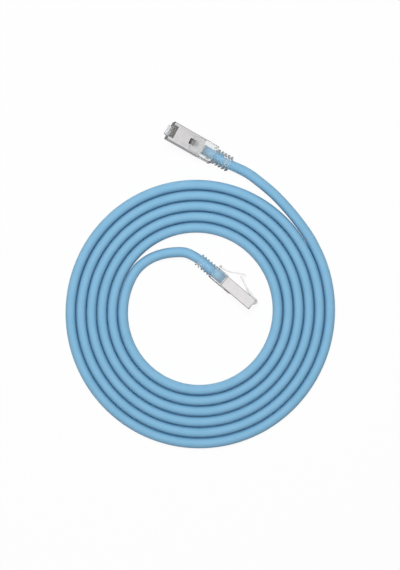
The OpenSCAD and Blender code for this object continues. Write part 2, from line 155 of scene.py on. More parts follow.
def swept(path, sections, up=(0, 0, 1)):
    """Carries a section along a path: each section point is (sideways, upwards) of the direction
    in which the path runs there."""
    ahead = np.gradient(path, axis=0)
    ahead /= np.linalg.norm(ahead, axis=1, keepdims=True)
    side = np.cross(up, ahead)
    side /= np.linalg.norm(side, axis=1, keepdims=True)
    above = np.cross(ahead, side)
    return path[:, None] + sections[..., :1] * side[:, None] + sections[..., 1:] * above[:, None]


def circle_sections(radii, sides):
    """A circle of each radius, as sections."""
    turn = np.linspace(0, 2 * np.pi, sides, endpoint=False)
    return np.asarray(radii)[:, None, None] * np.stack([np.cos(turn), np.sin(turn)], -1)[None]


def box_sections(half_w, half_h, corner, per_corner=6):
    """Rounded rectangles: each quarter of a circle of radius corner sits in its own corner."""
    half_w, half_h, corner = np.broadcast_arrays(*map(np.atleast_1d, (half_w, half_h, corner)))
    turn = np.linspace(0, np.pi / 2, per_corner)
    turns = np.concatenate([turn + quarter * np.pi / 2 for quarter in range(4)])
    sign_w = np.repeat([1, -1, -1, 1], per_corner)
    sign_h = np.repeat([1, 1, -1, -1], per_corner)
    r = np.minimum(corner, np.minimum(half_w, half_h))[:, None]
    w = sign_w * (half_w[:, None] - r) + r * np.cos(turns)
    h = sign_h * (half_h[:, None] - r) + r * np.sin(turns)
    return np.stack([w, h], -1)


def ease(x, low, high):
    """Smooth step from 0 at low to 1 at high."""
    t = np.clip((x - low) / (high - low), 0, 1)
    return t * t * (3 - 2 * t)


# %% [markdown]
# ## Where the plugs lie
#
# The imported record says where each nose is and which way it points, and the latch's joint says
# which way is across. A right-angled frame follows from those two, so no place is typed twice.

# %% Plug frames
record = frame["record"]
mounts = {mount["name"]: mount for mount in record["mounts"]}
joints = {joint["name"]: joint for joint in frame["joints"]}


def plug_frame(letter):
    """Nose in millimetres, and the plug's x (towards the cable), y (across), z (latch side)."""
    mount = mounts[f"plug_{letter}_nose"]
    x = -np.array(mount["axis"], float)
    y = np.array(joints[f"latch_{letter}_press"]["axis"], float)
    return np.array(mount["pos_m"], float) / MM, np.stack([x, y, np.cross(x, y)])


PLUGS = {letter: plug_frame(letter) for letter in "ab"}


def on_plug(points, letter):
    """Points of a plug's own frame, brought to where that plug lies."""
    nose, axes = PLUGS[letter]
    return nose + np.asarray(points, float) @ axes


print("noses at", {k: np.round(v[0], 1).tolist() for k, v in PLUGS.items()})

# %% [markdown]
# ## Camera
#
# A catalogue picture of a coiled cable is taken from straight above with a longish lens, so the
# coil stays round and the plugs hardly lean. The picture is upright, so the sensor's long side
# runs up it. A pixel spans PIXEL millimetres at the height SCALE_Z, about that of the coil's axis.

# %% Camera
PIXEL = 0.62
PICTURE_HEIGHT = 570
SCALE_Z = 3
LENS = 85.0
SENSOR = 36.0
VIEW_CENTRE = (-0.17, 0.52)
camera_height = PICTURE_HEIGHT * PIXEL * LENS / SENSOR + SCALE_Z
camera_data = bpy.data.cameras.new("camera")
camera_data.lens = LENS
camera_data.sensor_width = SENSOR
camera_data.clip_start = 0.01
camera = bpy.data.objects.new("camera", camera_data)
camera.location = (VIEW_CENTRE[0] * MM, VIEW_CENTRE[1] * MM, camera_height * MM)
bpy.context.scene.collection.objects.link(camera)
bpy.context.scene.camera = camera
bpy.context.scene.view_settings.view_transform = "Standard"
print("camera", round(camera_height), "mm above the table")

# %% [markdown]
# ## The cord
#
# The jacket is one piece from plug to plug. It starts inside boot A, runs out along the first free
# stretch, winds in along the spiral, leaves the coil on the inside and ends inside boot B. The
# route's points are those of the model. The round jacket rests on its lowest line, so its axis
# lies a whole radius above the table, where the model's solid is cut flat.

# %% The cord's route
CABLE_R = 3.0
JACKET_R = 3.15
JACKET_FRONT = 21.6
BOOT_END = 43.4
CORE_Z = 0.1
COIL_CENTRE = (-1.6, -15.85)
COIL_R = 46.4
COIL_STRETCH = 1.016
TURN_PITCH = 6.46
INNER_ANGLE, OUTER_ANGLE = 150, 2190
INNER_TURN_IN = 9
COIL_Z = 3.28
LEAD_A = [
    (70.2, 7.4, 3.7), (63.1, 5, 3.3), (55.4, 3, COIL_Z), (46.4, 1.15, COIL_Z),
    (39.1, 0.35, COIL_Z),
]
LEAD_B = [(-8.5, 20.35, 5.6), (-16, 20.75, 4.8), (-23.9, 19.55, 3.8), (-31.4, 16.65, 3.3)]
TURN_STEP, ROUTE_STEP = 7.5, 1.6


def from_coil(angle, radius, height):
    """A point by its direction and distance from the coil's centre; the coil is slightly longer
    along Y than it is wide."""
    a = np.radians(angle)
    return np.stack([
        COIL_CENTRE[0] + radius * np.cos(a), COIL_CENTRE[1] + COIL_STRETCH * radius * np.sin(a),
        height + 0 * a,
    ], -1)


def coil_radius(angle):
    """The spiral: its radius grows by one pitch a turn."""
    return COIL_R + TURN_PITCH * (np.asarray(angle, float) - 180) / 360


def level(angle):
    """Level direction at an angle."""
    return np.array([math.cos(math.radians(angle)), math.sin(math.radians(angle)), 0])


in_boot = np.stack([
    np.array([JACKET_FRONT, 30, 37, BOOT_END]), np.zeros(4), np.full(4, CORE_Z)], -1)
turns = np.arange(OUTER_ANGLE, INNER_ANGLE - 1, -TURN_STEP)
spiral = from_coil(turns, coil_radius(turns), COIL_Z)
outer_end = spiral[0] + 2 * CABLE_R * level(OUTER_ANGLE + 90)
inner_end = spiral[-1] - 2 * CABLE_R * level(INNER_ANGLE + 90 - INNER_TURN_IN)
angle, beyond, height = np.array(LEAD_A).T
lead_a = from_coil(angle, coil_radius(OUTER_ANGLE) + beyond, height)
route = np.concatenate([
    on_plug(in_boot, "a"), lead_a, [outer_end], spiral, [inner_end], LEAD_B[::-1],
    on_plug(in_boot, "b")[::-1],
])
cord_path = smooth_path(route, ROUTE_STEP)
cord_along = lengths_along(cord_path)
cord_length = cord_along[-1]
print("cord:", len(cord_path), "rings,", round(cord_length), "mm long")

# %% [markdown]
# Neighbouring turns of a real coil lie against each other, so in the coil the jacket's radius is
# half the local pitch, which is slightly larger along Y. The free stretches are a little thinner,
# and inside the boots the jacket keeps the radius that fits their bore.

# %% The jacket
JACKET_SIDES, SKIN_GAP = 28, 0.01
OUT_OF_BOOT, INTO_COIL = (0, 12), (40, 80)
from_end = np.minimum(cord_along, cord_length - cord_along) - (BOOT_END - JACKET_FRONT)
from_middle = (cord_path[:, :2] - COIL_CENTRE).T
around = np.arctan2(from_middle[1] / COIL_STRETCH, from_middle[0])
touching = (TURN_PITCH / 2 - SKIN_GAP) * (1 + (COIL_STRETCH - 1) * np.sin(around) ** 2)
jacket_radii = CABLE_R + (JACKET_R - CABLE_R) * ease(from_end, *OUT_OF_BOOT)
jacket_radii += (touching - JACKET_R) * ease(from_end, *INTO_COIL)
jacket_skin = swept(cord_path, circle_sections(jacket_radii, JACKET_SIDES))
cord = grid_piece("jacket", jacket_skin, lengths=cord_along)
print("jacket radius", np.round([jacket_radii.min(), jacket_radii.max()], 2).tolist(), "mm")

# %% [markdown]
# ## Materials
#
# One helper adds a node with its settings and links, and a few short ones use it for what every
# finish needs. Colours are written as the sRGB hex values a designer would read off a swatch, and
# one function turns them linear.

# %% Material helpers
WHITE = (1.0, 1.0, 1.0, 1.0)


def linear(code):
    """sRGB hex to linear red, green, blue and full alpha."""
    c = np.array([int(code[i : i + 2], 16) for i in (1, 3, 5)]) / 255
    return (*np.where(c <= 0.04045, c / 12.92, ((c + 0.055) / 1.055) ** 2.4), 1.0)


def add(tree, kind, inputs=None, **settings):
    """Adds a node; inputs maps its socket names or numbers to values or to sockets to link."""
    node = tree.nodes.new(kind)
    for key, value in settings.items():
        setattr(node, key, value)
    for key, value in (inputs or {}).items():
        if isinstance(value, bpy.types.NodeSocket):
            tree.links.new(value, node.inputs[key])
        else:
            node.inputs[key].default_value = value
    return node


def new_material(name):
    """An empty node material and its output."""
    material = bpy.data.materials.new(name)
    material.use_nodes = True
    material.node_tree.nodes.clear()
    return material, material.node_tree, add(material.node_tree, "ShaderNodeOutputMaterial")


def ramp(tree, factor, low, high, low_at=0.0, high_at=1.0):
    """A colour that runs from low to high as factor goes from low_at to high_at."""
    node = add(tree, "ShaderNodeValToRGB", {"Fac": factor})
    node.color_ramp.elements[0].position = low_at
    node.color_ramp.elements[1].position = high_at
    node.color_ramp.elements[0].color = low
    node.color_ramp.elements[1].color = high
    return node.outputs["Color"]


def noise(tree, place, size_mm, detail):
    """Noise in patches about size_mm across; place holds object coordinates."""
    return add(tree, "ShaderNodeTexNoise", {
        "Vector": place, "Scale": 1 / (size_mm * MM), "Detail": detail}).outputs["Fac"]


def calc(tree, operation, a, b):
    """One step of arithmetic on two values or sockets."""
    return add(tree, "ShaderNodeMath", {0: a, 1: b}, operation=operation).outputs[0]


def span(tree, value, low, high, start=0.0, end=1.0, **settings):
    """Runs from low to high while value runs from start to end, and stays level beyond them."""
    return add(tree, "ShaderNodeMapRange", {
        "Value": value, "From Min": start, "From Max": end, "To Min": low, "To Max": high,
    }, **settings).outputs[0]


def multiplied(tree, one, other):
    """The product of two colours."""
    return add(tree, "ShaderNodeMix", {
        0: 1.0, 6: one, 7: other}, data_type="RGBA", blend_type="MULTIPLY").outputs[2]


def bumped(tree, height, strength, depth_mm):
    """A normal tilted as if the surface rose by depth_mm where height is 1."""
    return add(tree, "ShaderNodeBump", {
        "Height": height, "Strength": strength, "Distance": depth_mm * MM}).outputs[0]


# %% [markdown]
# ### PVC jacket
#
# Flexible PVC comes out of the extruder with a satin skin: faint lines along the cable where the
# die drew it, and a fine grain. The UV map runs along the cable, so the lines follow every turn.
# Narrow grooves where turns touch get painted shade: an Ambient Occlusion node measures how open a
# point of the cable is and darkens the colour of the closed ones, so the shade finds its own place
# where turns touch, from any side. The last few millimetres at each plug get painted shade too,
# for the shadow that the shield's back edge casts on the jacket inside the boot.

# %% PVC jacket
DIE_LINE_LENGTH, DIE_LINES_ROUND = 14, 60
# Painted shade at the jacket's ends: full up to the first distance from a tip, gone from the second.
END_SHADE_FULL_TO, END_SHADE_GONE_AT = 3.5, 6.5


def pvc_jacket():
    """Extruded light-blue PVC: satin, with drawn lines along it and a little mottling."""
    material, tree, output = new_material("extruded_pvc_light_blue")
    uv = add(tree, "ShaderNodeUVMap", uv_map="along").outputs["UV"]
    drawn = add(tree, "ShaderNodeMapping", {
        "Vector": uv, "Scale": (1 / DIE_LINE_LENGTH, DIE_LINES_ROUND, 1)})
    lines = add(tree, "ShaderNodeTexNoise", {"Vector": drawn.outputs[0], "Scale": 1.0, "Detail": 3})
    place = add(tree, "ShaderNodeTexCoord").outputs["Object"]
    grain = noise(tree, place, 0.35, 4)
    dyed = ramp(tree, noise(tree, place, 9, 2), linear("#86BCDD"), linear("#8CC0E1"), 0.3, 0.7)
    # Painted shade: the jacket's colour darkens where an Ambient Occlusion node finds it closed in by neighbouring
    # turns.
    groove_shade_ao = add(
        tree, "ShaderNodeAmbientOcclusion", {"Distance": 8 * MM}, samples=12, only_local=True)
    painted_groove_shade = ramp(tree, groove_shade_ao.outputs["AO"], linear("#83ADC0"), WHITE, 0.15, 0.95)
    # Painted shade at both ends of the jacket: the colour darkens within a few millimetres of each tip, next to
    # the shield's back edge.
    along = add(tree, "ShaderNodeSeparateXYZ", {0: uv}).outputs[0]
    from_tip = calc(tree, "PINGPONG", along, cord_length / 2)
    free = span(tree, from_tip, 0.0, 1.0, END_SHADE_FULL_TO, END_SHADE_GONE_AT)
    painted_end_shade = ramp(tree, free, linear("#CDCECF"), WHITE)
    relief = calc(tree, "ADD", lines.outputs["Fac"], grain)
    shader = add(tree, "ShaderNodeBsdfPrincipled", {
        "Base Color": multiplied(tree, multiplied(tree, dyed, painted_groove_shade), painted_end_shade),
        "Roughness": span(tree, grain, 0.42, 0.55), "IOR": 1.5,
        "Normal": bumped(tree, relief, 0.25, 0.06),
    })
    tree.links.new(shader.outputs[0], output.inputs["Surface"])
    return material


jacket_pvc = pvc_jacket()
dress(cord, jacket_pvc, nodes=(
    "cable_coil", "lead_a", "lead_b", "jacket_end_a", "jacket_end_b"))

# %% [markdown]
# ### Clear plastics
#
# The plug's body and latch are polycarbonate, hard and glossy; the boot is a soft clear PVC with a
# slightly greasy skin. Both are glass-like. Lamps would cast solid black shadows through them, so
# shadow rays see a plain transparent shader instead.

# %% Clear plastics
def clear_plastic(name, tint, ior, roughness, ripple, density, clarity):
    """Clear moulded plastic: refracts, darkens with the depth of plastic that light crosses
    (density is per metre), and lets lamplight through. What isn't clarity is a milky haze."""
    material, tree, output = new_material(name)
    place = add(tree, "ShaderNodeTexCoord").outputs["Object"]
    shader = add(tree, "ShaderNodeBsdfPrincipled", {
        "Base Color": linear(tint), "Roughness": roughness, "IOR": ior,
        "Transmission Weight": clarity,
        "Normal": bumped(tree, noise(tree, place, 1.5, 2), ripple, 0.08),
    })
    through = add(tree, "ShaderNodeBsdfTransparent", {"Color": linear(tint)})
    shadow = add(tree, "ShaderNodeLightPath").outputs["Is Shadow Ray"]
    mix = add(tree, "ShaderNodeMixShader", {
        0: shadow, 1: shader.outputs[0], 2: through.outputs[0]})
    depth = add(tree, "ShaderNodeVolumeAbsorption", {
        "Color": linear("#8C9296"), "Density": density})
    tree.links.new(mix.outputs[0], output.inputs["Surface"])
    tree.links.new(depth.outputs[0], output.inputs["Volume"])
    return material


polycarbonate = clear_plastic(
    "moulded_polycarbonate_clear", "#FAFBFC",
    ior=1.585, roughness=0.03, ripple=0.10, density=35.0, clarity=0.97)
soft_pvc = clear_plastic(
    "moulded_soft_pvc_clear", "#FCFDFD",
    ior=1.53, roughness=0.06, ripple=0.12, density=25.0, clarity=0.95)
thin_pvc = clear_plastic(
    "moulded_soft_pvc_hazy", "#FCFDFD",
    ior=1.53, roughness=0.10, ripple=0.12, density=8.0, clarity=0.85)

# %% [markdown]
# ### Metals
#
# The shield is folded brass sheet with bright nickel plating, the contacts are nickel-plated
# bronze, and the cores are drawn copper. A metal's colour is its reflection, so each one keeps the
# default IOR and gets its look from base colour, roughness and a very fine grain. Round the root of
# the shield's bent tang the nickel's colour darkens, fading out over a few millimetres, and the tang
# itself gets a darker nickel: painted shade of the recess under the window.

# %% Metals
# Painted shade round the tang root: full within the first distance, gone beyond the second.
SHADE_FULL_WITHIN, SHADE_GONE_BEYOND = 0.5, 3.2


def plated_metal(name, light, dark, rough, grain_mm, relief, shade_at=None):
    """Plated metal: a reflection coloured by the plating, patchy in gloss, with a fine grain. The
    colour darkens towards an optional point, given in millimetres: painted shade."""
    material, tree, output = new_material(name)
    place = add(tree, "ShaderNodeTexCoord").outputs["Object"]
    patch = noise(tree, place, 3, 3)
    colour = ramp(tree, patch, linear(dark), linear(light), 0.3, 0.7)
    # Round the given point the colour fades to a darker grey: painted shade of the recess under the shield's
    # window.
    if shade_at is not None:
        ends = {0: place, 1: tuple(shade_at * MM)}
        away = add(tree, "ShaderNodeVectorMath", ends, operation="DISTANCE").outputs["Value"]
        unshaded = span(
            tree, away, 0.0, 1.0, SHADE_FULL_WITHIN * MM, SHADE_GONE_BEYOND * MM, interpolation_type="SMOOTHSTEP")
        mix = {0: unshaded, 6: linear("#ABAAA9"), 7: colour}
        colour = add(tree, "ShaderNodeMix", mix, data_type="RGBA").outputs[2]
    shader = add(tree, "ShaderNodeBsdfPrincipled", {
        "Base Color": colour, "Metallic": 1.0, "Roughness": span(tree, patch, *rough),
        "Normal": bumped(tree, noise(tree, place, grain_mm, 4), relief, 0.04),
    })
    tree.links.new(shader.outputs[0], output.inputs["Surface"])
    return material


contact_nickel = plated_metal(
    "nickel_plated_bronze", "#B9B4AB", "#A29D94", rough=(0.2, 0.3), grain_mm=0.1, relief=0.1)
copper = plated_metal(
    "drawn_copper", "#C9835A", "#A9653F", rough=(0.25, 0.4), grain_mm=0.1, relief=0.2)
tinned_braid = plated_metal(
    "tinned_copper_braid", "#B4B7BA", "#7F8488", rough=(0.3, 0.5), grain_mm=0.25, relief=0.9)
# A darker nickel for the shield's bent tang: painted shade of the recess under the window.
tang_shade_nickel = plated_metal(
    "nickel_painted_tang_shade", "#8B8A88", "#6E6D6B", rough=(0.35, 0.5), grain_mm=0.08, relief=0.5)

# %% [markdown]
# ## The boots
#
# Each boot is one moulding: a hollow body behind the shield, a flap that runs forward along the
# contact side, and a ribbed tail gripping the jacket. It is a closed shell, so its grid runs out
# along the outside and back along the inside. Half width, half height and corner radius are
# functions of the distance from the nose, and the ribs are rounded pulses added to them. The body
# is crowned on the latch side: its width shrinks with a high power of the height there. The flap
# needs no mesh of its own: the two columns at the edges of the contact side are pulled forward.

# %% Boots
PLUG_W, PLUG_H = 11.7, 7.2
BOOT_WALL, BOOT_SIDE = 0.6, 0.15
FLAP_TIP, BODY_FRONT, BODY_END, TAIL_FRONT = 14.9, 22.5, 31.2, 32.4
FIRST_RIB, RIB_COUNT, RIB_PITCH, RIB_T = 32.9, 5, 2.3, 1.1
RIB_W, RIB_H = 9.6, 8.2
RIB_FLAT, RIB_FOOT = RIB_T * 0.3, RIB_T * 0.62
GROOVE_WALL, LIP, DRAFT = 0.35, 0.25, 0.02
SHIELD_GAP, GRIP_DEPTH = 0.02, 0.03
BODY_CORNER, INNER_CORNER, RIB_CORNER_CUT = 1.1, 0.5, 0.9
OUTER_TAPER = (BODY_END + 0.3, TAIL_FRONT + 0.2)
INNER_TAPER = (BODY_END - 0.8, TAIL_FRONT - 0.6)
CROWN, CROWN_POWER = 0.35, 8
CROWN_FADE = (BODY_END - 1, BODY_END + 0.3)
PER_CORNER = 9


def rib_pulse(x):
    """1 on a rib and 0 between ribs, with rounded shoulders."""
    middle = FIRST_RIB + RIB_T / 2 + RIB_PITCH * np.arange(RIB_COUNT)
    away = np.abs(x[:, None] - middle[None]).min(axis=1)
    return 1 - ease(away, RIB_FLAT, RIB_FOOT)


def boot_outside(x):
    """Half width, half height, corner radius and height of the axis along the outside."""
    taper = ease(x, *OUTER_TAPER)
    rib = rib_pulse(x)
    tail = CABLE_R + GROOVE_WALL
    inset = LIP * (1 - ease(x, BODY_FRONT - 0.01, BODY_FRONT + LIP))
    inset += LIP * ease(x, BOOT_END - LIP, BOOT_END + 0.01)
    draft = DRAFT * (x - BODY_FRONT)
    w = (1 - taper) * (PLUG_W / 2 + BOOT_SIDE - draft) + taper * tail + rib * (RIB_W / 2 - tail)
    h = (1 - taper) * (PLUG_H / 2 + BOOT_WALL) + taper * tail + rib * (RIB_H / 2 - tail)
    corner = (1 - taper) * BODY_CORNER + taper * tail - rib * RIB_CORNER_CUT
    return w - inset, h - inset, corner, CORE_Z * taper


def boot_inside(x):
    """The same for the inside: wide behind the shield first, then down to grip the jacket. The
    grip lies just under the jacket's skin, so that no film of air shows between them."""
    taper = ease(x, *INNER_TAPER)
    draft = DRAFT * (x - BODY_FRONT)
    grip = taper * (CABLE_R - GRIP_DEPTH)
    w = (1 - taper) * (PLUG_W / 2 + BOOT_SIDE - BOOT_WALL - draft) + grip
    h = (1 - taper) * (PLUG_H / 2 + SHIELD_GAP) + grip
    return w, h, (1 - taper) * INNER_CORNER + taper * CABLE_R, CORE_Z * taper


def boot_grid():
    """Rings along the outside, then back along the inside; the last joins the first. The crown
    multiplies the body's width by 1 - CROWN * (z / h)**CROWN_POWER on its latch side, z > 0."""
    x_out = np.concatenate([
        BODY_FRONT + np.array([0, 0.08, 0.16, 0.25]),
        np.linspace(BODY_FRONT + 1, BODY_END - 0.6, 8),
        np.linspace(BODY_END - 0.4, BOOT_END, 120),
    ])
    x_in = np.concatenate([
        np.linspace(BOOT_END, TAIL_FRONT, 6), np.linspace(TAIL_FRONT - 0.2, BODY_END - 0.9, 20),
        np.linspace(BODY_END - 1.4, BODY_FRONT + 1, 8), BODY_FRONT + np.array([0.25, 0]),
    ])
    flap = np.zeros(4 * PER_CORNER)
    flap[[3 * PER_CORNER - 1, 3 * PER_CORNER]] = 1
    rings = []
    for x, shape in ((x_out, boot_outside(x_out)), (x_in, boot_inside(x_in))):
        w, h, corner, axis = shape
        yz = box_sections(w, h, corner, per_corner=PER_CORNER)
        body = 1 - ease(x, *CROWN_FADE)[:, None]
        yz[..., 0] *= 1 - CROWN * body * np.clip(yz[..., 1] / h[:, None], 0, 1) ** CROWN_POWER
        at_front = 1 - ease(x, BODY_FRONT, BODY_FRONT + 1)[:, None]
        forward = flap * at_front * (BODY_FRONT - FLAP_TIP)
        rings.append(np.concatenate([
            (x[:, None] - forward)[..., None], yz + np.stack([0 * axis, axis], -1)[:, None],
        ], -1))
    return np.concatenate(rings)


for letter in "ab":
    boot = grid_piece(f"clear_boot_{letter}", on_plug(boot_grid(), letter), wrap_rows=True)
    dress(boot, soft_pvc, nodes=(f"boot_{letter}",))
print("boots:", len(boot.data.vertices), "points each")

# %% [markdown]
# ## The guard's hinge
#
# Two rounded cheeks rise from each boot and hold the pin that the guard turns on. They are plain
# prisms with a Bevel modifier, because that is all such a small moulded ear is.

# %% Hinge cheeks
GUARD_PIN = (30.0, PLUG_H / 2 + 1.9)
CHEEK_Y, CHEEK_T, CHEEK_ROUND = 2.65, 0.7, 0.16
CHEEK_FOOT, CHEEK_TOP = PLUG_H / 2 + 0.3, GUARD_PIN[1] + 0.6
PIN_R, PIN_END = 0.37, CHEEK_Y + 0.3
EYE_R, EYE_END = 0.75, 2.5
SOFT_END, BAR_SIDES = 0.06, 24


def prism(name, outline, low, high, letter, bevel):
    """An outline in the plug's x and z, carried across y from low to high, with rounded edges."""
    ring = np.array([[x, 0, z] for x, z in outline], float)
    grid = np.stack([ring + (0, y, 0) for y in (low, high)])
    piece = grid_piece(name, on_plug(grid, letter))
    edge = piece.modifiers.new("rounding", "BEVEL")
    edge.width = bevel * MM
    edge.segments = 3
    edge.limit_method = "ANGLE"
    return piece


def round_bar(name, centre, radius, low, high, letter):
    """A round bar across the plug, with softened ends."""
    y = np.array([low, low + SOFT_END, high - SOFT_END, high])
    r = np.array([radius - SOFT_END, radius, radius, radius - SOFT_END])
    ring = circle_sections(r, BAR_SIDES)
    grid = np.stack([
        centre[0] + ring[..., 0], np.broadcast_to(y[:, None], ring.shape[:2]),
        centre[1] + ring[..., 1],
    ], -1)
    return grid_piece(name, on_plug(grid, letter))


cheek = [(28.4, CHEEK_FOOT), (31.0, CHEEK_FOOT), (30.7, CHEEK_TOP), (29.3, CHEEK_TOP)]
for letter in "ab":
    for side, name in ((1, "right"), (-1, "left")):
        low, high = sorted((side * CHEEK_Y, side * (CHEEK_Y + CHEEK_T)))
        ear = prism(f"hinge_cheek_{name}_{letter}", cheek, low, high, letter, CHEEK_ROUND)
        dress(ear, thin_pvc)
    pin = round_bar(f"guard_pin_{letter}", GUARD_PIN, PIN_R, -PIN_END, PIN_END, letter)
    dress(pin, thin_pvc)
print("hinges: a pin and two cheeks on each boot")

# %% [markdown]
# ## Guards and latches
#
# Both are springy strips of clear plastic. A strip has a centre line, a thickness and a width along
# it, and its ends are rounded by drawing the last sections in along a quarter circle.

# %% Strips
RING_STEP, LINE_STEP = 0.2, 0.4
TIP_RINGS, THINNEST = 6, 0.02


def strip_grid(line, end_round, corner):
    """line holds x, height over the latch face, thickness and width; sections are square to it.
    An end is drawn in by r - sqrt(r**2 - (r - s)**2) at s from its tip, where r is end_round."""
    line = np.asarray(line, float)
    points = np.stack([line[:, 0], PLUG_H / 2 + line[:, 1], line[:, 2], line[:, 3]], -1)
    s = lengths_along(points[:, :2])
    tip = end_round * (1 - np.cos(np.linspace(0, np.pi / 2, TIP_RINGS)))
    along = np.linspace(0, s[-1], int(s[-1] / RING_STEP))
    fine = np.unique(np.concatenate([along, tip, s[-1] - tip]))
    x, z, t, w = (np.interp(fine, s, column) for column in points.T)
    path = np.stack([x, 0 * x, z], -1)
    near = np.minimum(fine, s[-1] - fine)
    to_end = np.maximum(end_round - near, 0)
    drawn_in = end_round - np.sqrt(np.maximum(end_round**2 - to_end**2, 0))
    half_t = np.maximum(t / 2 - drawn_in, THINNEST)
    sections = box_sections(w / 2 - drawn_in, half_t, corner)
    ahead = np.gradient(path, axis=0)
    ahead /= np.linalg.norm(ahead, axis=1, keepdims=True)
    above = np.stack([-ahead[:, 2], 0 * x, ahead[:, 0]], -1)
    across = np.array([0, 1, 0])
    return path[:, None] + sections[..., :1] * across + sections[..., 1:] * above[:, None]


GUARD = smooth_path([
    (30, 1.9, 0.8, 5), (27.8, 1.95, 0.8, 5), (25.4, 2.45, 0.8, 5), (23, 3.35, 0.8, 5),
    (20.8, 4.45, 0.8, 5), (18.8, 5.75, 0.8, 5), (17, 6.85, 0.8, 4.9), (15.4, 7.35, 0.8, 4.7),
    (14.2, 7.4, 0.7, 4.4),
], LINE_STEP)
LATCH_PIN = (0.25, PLUG_H / 2 - 1.3)
LOOP_R, LOOP_T, LOOP_RINGS = 1.675, 0.75, 16
LOOP_FROM, LOOP_TO = 248, 96
LATCH_W, TAB_W = 6.3, 3.9
loop_turn = np.radians(np.linspace(LOOP_FROM, LOOP_TO, LOOP_RINGS))
loop = np.stack([
    LATCH_PIN[0] + LOOP_R * np.cos(loop_turn),
    LATCH_PIN[1] - PLUG_H / 2 + LOOP_R * np.sin(loop_turn),
    np.full(LOOP_RINGS, LOOP_T), np.full(LOOP_RINGS, LATCH_W),
], -1)
ROOT_LINE = smooth_path([
    (0.25, 0.375, 0.75, LATCH_W), (2.5, 0.42, 1, LATCH_W), (4.8, 0.8, 1.4, LATCH_W),
    (7.4, 1.5, 1.35, LATCH_W), (8.35, 1.84, 1.0, LATCH_W),
], LINE_STEP)
TAB_LINE = smooth_path([
    (8.45, 1.88, 0.9, TAB_W), (9.2, 2.15, 0.9, TAB_W), (11.2, 2.95, 0.9, TAB_W),
    (13.1, 3.85, 0.9, TAB_W), (14.6, 4.65, 1.2, TAB_W), (15.2, 5, 1.5, TAB_W),
    (16.6, 5.6, 1.4, TAB_W),
], LINE_STEP)
LATCH = np.concatenate([loop, ROOT_LINE, TAB_LINE])

# %% Guards and latches
for letter in "ab":
    tongue = strip_grid(GUARD, end_round=0.38, corner=0.2)
    guard = grid_piece(f"guard_tongue_{letter}", on_plug(tongue, letter))
    dress(guard, soft_pvc, body=f"guard_{letter}", nodes=(f"latch_guard_{letter}",))
    eye = round_bar(f"guard_eye_{letter}", GUARD_PIN, EYE_R, -EYE_END, EYE_END, letter)
    dress(eye, thin_pvc, body=f"guard_{letter}")
    arm = strip_grid(LATCH, end_round=0.3, corner=0.16)
    latch = grid_piece(f"sprung_latch_{letter}", on_plug(arm, letter))
    dress(latch, polycarbonate, body=f"latch_{letter}", nodes=(f"latch_{letter}",))
print("guards:", len(guard.data.vertices), "points; latches:", len(latch.data.vertices), "points")

# %% [markdown]
# ## The parts that keep their shape
#
# Housing, shield, contacts and the rest are exact already. The two that show most, the clear body
# and the shield, are dressed as copies with a narrow Bevel, so that their edges catch light as
# moulded and stamped edges do. The others keep their meshes and get their finish.

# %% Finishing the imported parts
HOUSING_EDGE, SHIELD_EDGE = 0.08, 0.06
WELD, FLAT_WITHIN, BEVEL_FROM = 1e-6, 1, 40
TANG_ROOT = (17.6, 0, -PLUG_H / 2)
TANG_FROM, TANG_TO, TANG_HALF, TANG_TOP, TANG_LEAN = 13.5, 17.1, 1.85, -1.5, 0.2


def refinish(name, material):
    """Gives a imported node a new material."""
    node = frame["nodes"][name]
    node.data.materials.clear()
    node.data.materials.append(material)


def soft_edged(name, node_name, width):
    """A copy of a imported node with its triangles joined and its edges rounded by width."""
    mesh = frame["nodes"][node_name].data.copy()
    mesh.name = name
    work = bmesh.new()
    work.from_mesh(mesh)
    bmesh.ops.remove_doubles(work, verts=work.verts, dist=WELD)
    flat = math.radians(FLAT_WITHIN)
    bmesh.ops.dissolve_limit(work, angle_limit=flat, verts=work.verts, edges=work.edges)
    work.to_mesh(mesh)
    work.free()
    piece = finish_mesh(name, mesh)
    edge = piece.modifiers.new("edges", "BEVEL")
    edge.width = width * MM
    edge.segments = 2
    edge.limit_method = "ANGLE"
    edge.angle_limit = math.radians(BEVEL_FROM)
    return piece


def paint_tang_shade(sheet, letter):
    """Paints shade on the shield's bent tang by giving its faces a darker nickel. Its two broad faces
    are the ones between the window's ends and sides whose normal leans along the plug."""
    origin, axes = PLUGS[letter]
    count = len(sheet.data.polygons)
    centres, normals = np.empty(count * 3), np.empty(count * 3)
    sheet.data.polygons.foreach_get("center", centres)
    sheet.data.polygons.foreach_get("normal", normals)
    place = (centres.reshape(-1, 3) / MM - origin) @ axes.T
    lean = normals.reshape(-1, 3) @ axes.T
    on_tang = (place[:, 0] > TANG_FROM) & (place[:, 0] < TANG_TO)
    on_tang &= (np.abs(place[:, 1]) < TANG_HALF) & (place[:, 2] < TANG_TOP)
    on_tang &= np.abs(lean[:, 0]) > TANG_LEAN
    # The tang's faces get the darker nickel: painted shade.
    sheet.data.materials.append(tang_shade_nickel)
    sheet.data.polygons.foreach_set("material_index", on_tang.astype(np.int32))
    return int(on_tang.sum())


def insulation(name, colour):
    """Extruded polyethylene on one pair of wires: waxy and a little uneven."""
    material, tree, output = new_material(name)
    place = add(tree, "ShaderNodeTexCoord").outputs["Object"]
    dark = tuple(0.82 * c for c in linear(colour)[:3]) + (1.0,)
    tone = ramp(tree, noise(tree, place, 1.2, 2), dark, linear(colour), 0.35, 0.65)
    shader = add(tree, "ShaderNodeBsdfPrincipled", {
        "Base Color": tone, "Roughness": 0.35, "IOR": 1.51, "Subsurface Weight": 0.1,
        "Subsurface Radius": (0.6 * MM, 0.6 * MM, 0.6 * MM),
    })
    tree.links.new(shader.outputs[0], output.inputs["Surface"])
    return material


